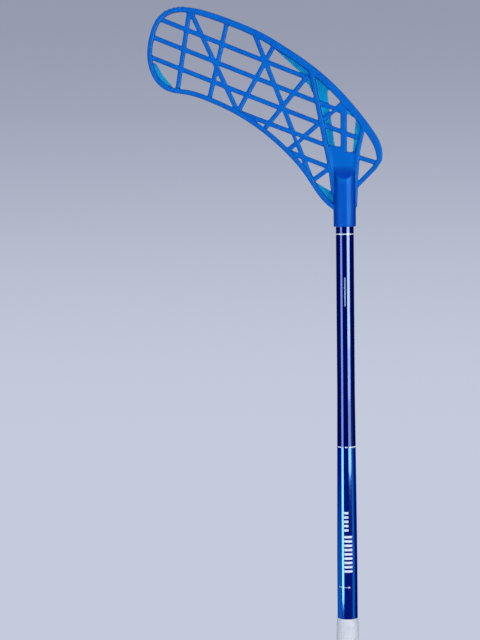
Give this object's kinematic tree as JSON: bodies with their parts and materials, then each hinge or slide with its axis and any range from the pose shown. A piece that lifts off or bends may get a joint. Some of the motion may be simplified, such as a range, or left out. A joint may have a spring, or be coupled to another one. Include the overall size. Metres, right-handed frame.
{
  "type": "floorball stick",
  "caption": "Floorball stick with a hooked lattice blade moulded round a neck socket, a tapered tube shaft, a wound soft grip and a butt cap.",
  "frame": {"origin": "centre of the butt cap's flat end face", "axes": "+Z along the shaft towards the blade, -X towards the blade's tip, -Y is the hollow side of the blade's hook, the side that the picture shows"},
  "size_m": [0.2659, 0.0379, 1.074],
  "materials": {
    "blade_plastic": "smooth translucent blue moulding",
    "shaft_lacquer": "composite tube under mirror-gloss metallic blue lacquer",
    "glue": "hot-melt adhesive",
    "screw_steel": "zinc plated",
    "grip_soft": "soft perforated strip, white",
    "band_soft": "smooth white band",
    "cap_plastic": "moulded, white"
  },
  "bodies": {
    "root": {"blade": "blade_plastic", "shaft_tube": "shaft_lacquer", "neck_glue": "glue", "blade_screw": "screw_steel", "grip_tape": "grip_soft", "finishing_band": "band_soft", "butt_cap": "cap_plastic"}
  },
  "joints": []
}
